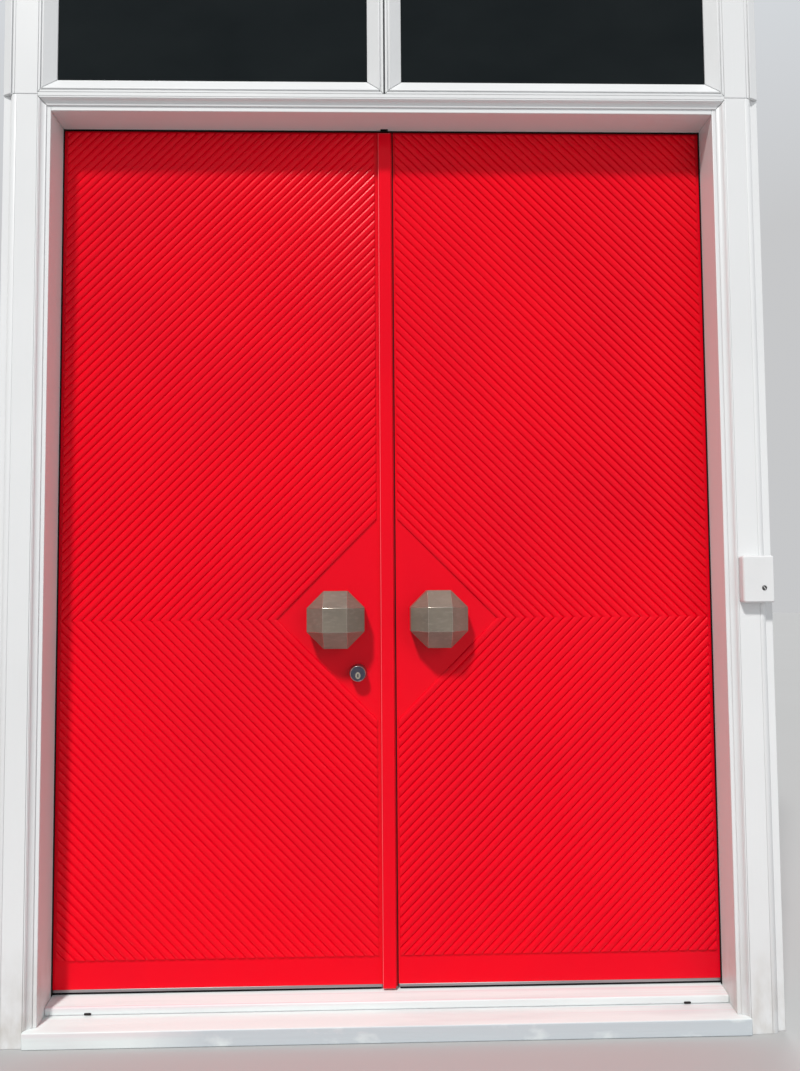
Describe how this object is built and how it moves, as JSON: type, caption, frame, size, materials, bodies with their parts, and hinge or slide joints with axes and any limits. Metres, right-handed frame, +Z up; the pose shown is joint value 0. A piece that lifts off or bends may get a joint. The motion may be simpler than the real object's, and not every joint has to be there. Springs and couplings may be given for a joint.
{
  "type": "double entrance door",
  "caption": "Pair of glossy red lacquered doors with diagonal reeding about a plain diamond, faceted metal knobs, and a white painted frame with a two-light transom.",
  "frame": {"origin": "centre of the doorway at the underside of the sill, in the plane of the closed leaves' outer face", "axes": "+X to the right seen from the street, +Y into the building, +Z up"},
  "size_m": [1.744, 0.268, 2.54],
  "materials": {
    "white_paint": "satin white paint, worn on the sill",
    "glass": "clear",
    "seal": "matt",
    "red_lacquer": "high-gloss red lacquer",
    "shoe_metal": "dull",
    "aged_bronze": "dark, worn patina",
    "lock_metal": "worn",
    "hinge_steel": "satin",
    "bell_metal": "light grey paint"
  },
  "bodies": {
    "frame": {"sill": "white_paint", "threshold": "white_paint", "left_jamb": "white_paint", "right_jamb": "white_paint", "head_jamb": "white_paint", "left_post": "white_paint", "right_post": "white_paint", "left_upper_post": "white_paint", "right_upper_post": "white_paint", "side_casings": "white_paint", "head_casing": "white_paint", "side_mouldings": "white_paint", "head_moulding": "white_paint", "outer_mouldings": "white_paint", "transom_bar": "white_paint", "transom_mullion": "white_paint", "transom_head": "white_paint", "transom_stops": "white_paint", "transom_glass": "glass", "weatherstrip": "seal", "frame_hinge_plates": "hinge_steel", "bell_box": "bell_metal", "bell_box_screw": "bell_metal"},
    "left_door": {"left_leaf": "red_lacquer", "left_upper_reeds": "red_lacquer", "left_lower_reeds": "red_lacquer", "meeting_strip": "red_lacquer", "left_shoe": "shoe_metal", "left_knobs": "aged_bronze", "lock_collar": "lock_metal", "lock_plug": "lock_metal", "thumb_turn": "lock_metal", "left_leaf_hinge_plates": "hinge_steel"},
    "right_door": {"right_leaf": "red_lacquer", "right_upper_reeds": "red_lacquer", "right_lower_reeds": "red_lacquer", "right_shoe": "shoe_metal", "right_knobs": "aged_bronze", "right_leaf_hinge_plates": "hinge_steel"}
  },
  "joints": [
    {"name": "left_door_hinge", "type": "hinge", "parent": "frame", "child": "left_door", "pos_m": [-0.7785, 0.05, 1.08], "axis": [0, 0, 1], "range_deg": [0, 100]},
    {"name": "right_door_hinge", "type": "hinge", "parent": "frame", "child": "right_door", "pos_m": [0.7785, 0.05, 1.08], "axis": [0, 0, -1], "range_deg": [0, 100]}
  ]
}
